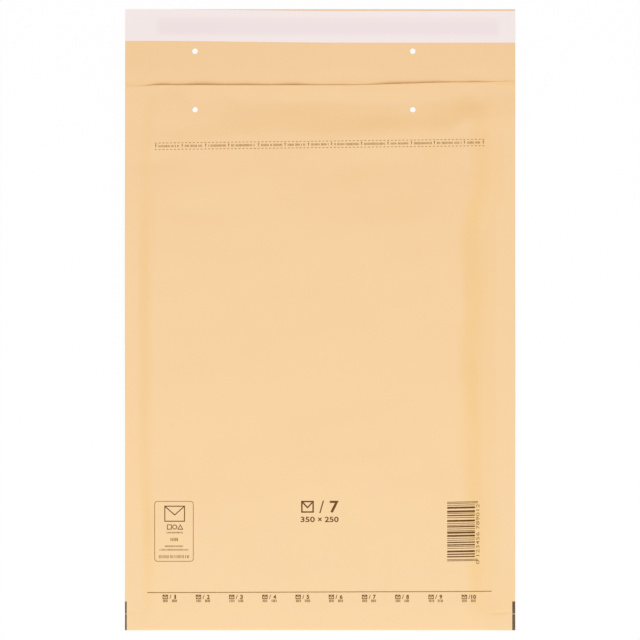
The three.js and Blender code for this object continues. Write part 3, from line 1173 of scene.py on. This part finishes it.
barPattern = {
    "left": 81.3,
    "right": 99.1,
    "low": -154.5,
    "high": -116.5,
    "units": 95,  # along y
    "guards": (0, 2, 92, 94),  # units of the longer bars, and how far to the right they go
    "guardRight": 101.0,
    "inner": (5, 89),  # units between which the other bars begin
    "wide": (1, 1, 2, 3),  # bars and gaps to choose from, in units
    "gap": (1, 2, 2, 3),
    "tilt": 0.018,
    "figures": ("0 123456 789012", 99.8, -156.5, 102.0, -118.0),
    "weight": 0.004,
}


def makeBarPattern():  # lying bars and gaps of one to three units at random, and a count of figures
    unit = (barPattern["high"] - barPattern["low"]) / barPattern["units"]
    left, tilt = barPattern["left"], barPattern["tilt"]
    top = barPattern["high"] - tilt * (left + barPattern["right"]) / 2
    runs = [(at, 1, barPattern["guardRight"]) for at in barPattern["guards"]]
    at, last = barPattern["inner"]
    while at < last:
        wide, gap = chance.choice(barPattern["wide"]), chance.choice(barPattern["gap"])
        runs.append((at, wide, barPattern["right"]))
        at += wide + gap
    shells = [bar(left, top - (at + wide) * unit, right, top - at * unit, tilt) for at, wide, right in runs]
    printPiece("barPattern", shells)
    figures = numerals(*barPattern["figures"], barPattern["weight"], upright=True)
    printPiece("barFigures", [figures], fineInk)


scaleMarks = {
    "rule": (-110.8, -174.62, 109.8, -174.08),
    "ruleSlope": 0.0035,
    "count": 10,
    "first": -96.2,
    "pitch": 21.27,
    "low": -178.8,
    "high": -176.1,
    "picture": (-4.4, -1.5),  # from left to right, measured from the mark's place
    "pictureInset": 0.25,
    "pictureLine": 0.5,
    "slash": (-0.1, 0.7),
    "slashLine": 0.4,
    "figure": (2.4, 4.2),
    "otherFigures": {1: (2.9, 3.9), 10: (1.5, 4.6)},
    "weight": 0.035,
    "blockRows": ((-4.4, -0.7), (1.3, 5.0)),
    "blocks": (-180.0, 1.7, 0.65, 0.17),  # middle, and a block's height, width and gap
}


def makeScale():  # a rule with ten numbered marks under it
    low, high, inset = scaleMarks["low"], scaleMarks["high"], scaleMarks["pictureInset"]
    fine = [bar(*scaleMarks["rule"], scaleMarks["ruleSlope"])]
    shells = []
    for number in range(1, scaleMarks["count"] + 1):
        at = scaleMarks["first"] + (number - 1) * scaleMarks["pitch"]
        left, right = scaleMarks["picture"]
        shells += pictogram(at + left, low + inset, at + right, high - inset, scaleMarks["pictureLine"])
        foot, head = scaleMarks["slash"]
        shells.append(stroke([(at + foot, low), (at + head, high)], scaleMarks["slashLine"]))
        left, right = scaleMarks["otherFigures"].get(number, scaleMarks["figure"])
        shells.append(numerals(str(number), at + left, low, at + right, high, scaleMarks["weight"]))
        for left, right in scaleMarks["blockRows"]:
            fine += blockRow(at + left, at + right, *scaleMarks["blocks"])
    printPiece("scaleRule", fine, fineInk)
    printPiece("numberedScale", shells)


edgeMarks = {
    "parts": ((bottomEdge + 0.04, -188.6), (-188.25, -180.5)),  # below the crease and above it
    "left": (0.0, 1.12),  # from one side of a mark to the other, measured from the edge
    "right": (0.05, 1.95),
    "rows": 0.2,  # fine, to go round the fold
}


def makeEdgeMarks():  # dark blocks at both bottom corners, broken at the crease
    fine = edgeMarks["rows"]
    leftNear, leftFar = edgeMarks["left"]
    rightNear, rightFar = edgeMarks["right"]
    shells = []
    for low, high in edgeMarks["parts"]:
        shells.append(bar(leftNear - halfWidth, low, leftFar - halfWidth, high, rowStep=fine))
        shells.append(bar(halfWidth - rightFar, low, halfWidth - rightNear, high, rowStep=fine))
    printPiece("edgeMarks", shells, greyInk)


for makePrint in (makeTearLine, makePanel, makeSizeMark, makeBarPattern, makeScale, makeEdgeMarks):
    makePrint()

# Floor, light and camera

studio = {
    "floorSize": 6,
    "floorAt": -0.00003,
    "floorGrey": (0.96, 0.96, 0.96, 1),
    "whiteShare": 0.95,  # share of the floor's look that no shadow reaches
    "sky": 0.58,
    "skyTint": (1.31, 1.0, 0.84, 1),  # a warm room
    "keyTint": (0.6, 1.0, 1.2),  # and a cool lamp, that are white together
    "keyPower": 30.4,
    "keySize": 1.8,
    "keyAt": (0, -1.235, 1.82),
    "distance": 4,
    "sensor": 36,
    "view": 0.4102,  # metres across the picture
    "lookAt": (-0.0001, -0.00022),
}


def makeFloor():  # matt, but nearly white to the camera and in reflections
    half, level = studio["floorSize"] / 2, studio["floorAt"]
    corners = [(x * half, y * half, level) for x, y in ((-1, -1), (1, -1), (1, 1), (-1, 1))]
    mesh = bpy.data.meshes.new("studioFloor")
    mesh.from_pydata(corners, [], [(0, 1, 2, 3)])
    floor = bpy.data.objects.new("studioFloor", mesh)
    bpy.context.collection.objects.link(floor)
    material = bpy.data.materials.new("studioFloor")
    material.use_nodes = True
    nodes = Nodes(material.node_tree)
    material.node_tree.nodes.clear()
    ray = nodes.add("ShaderNodeLightPath").outputs
    seen = ray["Is Camera Ray"]
    for kind in ("Is Glossy Ray", "Is Transmission Ray"):
        seen = nodes.math("MAXIMUM", seen, ray[kind])
    matt = nodes.feed(nodes.add("ShaderNodeBsdfDiffuse"), Color=studio["floorGrey"])
    share = nodes.math("MULTIPLY", seen, studio["whiteShare"])
    surface = nodes.mixShaders(share, matt, nodes.add("ShaderNodeEmission"))
    nodes.feed(nodes.add("ShaderNodeOutputMaterial"), Surface=surface)
    mesh.materials.append(material)


def makeLight():  # a warm sky that the camera sees as white, and one large cool lamp
    world = bpy.data.worlds.new("studioSky")
    bpy.context.scene.world = world
    world.use_nodes = True
    nodes = Nodes(world.node_tree)
    world.node_tree.nodes.clear()
    ray = nodes.add("ShaderNodeLightPath").outputs
    sky = nodes.feed(nodes.add("ShaderNodeBackground"), Strength=studio["sky"], Color=studio["skyTint"])
    white = nodes.feed(nodes.add("ShaderNodeBackground"), Color=(1, 1, 1, 1))
    surface = nodes.mixShaders(ray["Is Camera Ray"], sky, white)
    nodes.feed(nodes.add("ShaderNodeOutputWorld"), Surface=surface)

    key = bpy.data.lights.new("keyLight", "AREA")
    key.energy = studio["keyPower"]
    key.color = studio["keyTint"]
    key.size = studio["keySize"]
    lamp = bpy.data.objects.new("keyLight", key)
    lamp.location = studio["keyAt"]
    aim = -lamp.location
    lamp.rotation_euler = aim.to_track_quat("-Z", "Y").to_euler()
    bpy.context.collection.objects.link(lamp)


def makeCamera():  # straight above; the lens is the sensor's width times distance over view
    camera = bpy.data.cameras.new("camera")
    camera.sensor_width = studio["sensor"]
    camera.lens = camera.sensor_width * studio["distance"] / studio["view"]
    eye = bpy.data.objects.new("camera", camera)
    eye.location = (*studio["lookAt"], studio["distance"])
    bpy.context.collection.objects.link(eye)
    bpy.context.scene.camera = eye


makeFloor()
makeLight()
makeCamera()
bpy.context.scene.view_settings.view_transform = "Standard"
print("studio made")
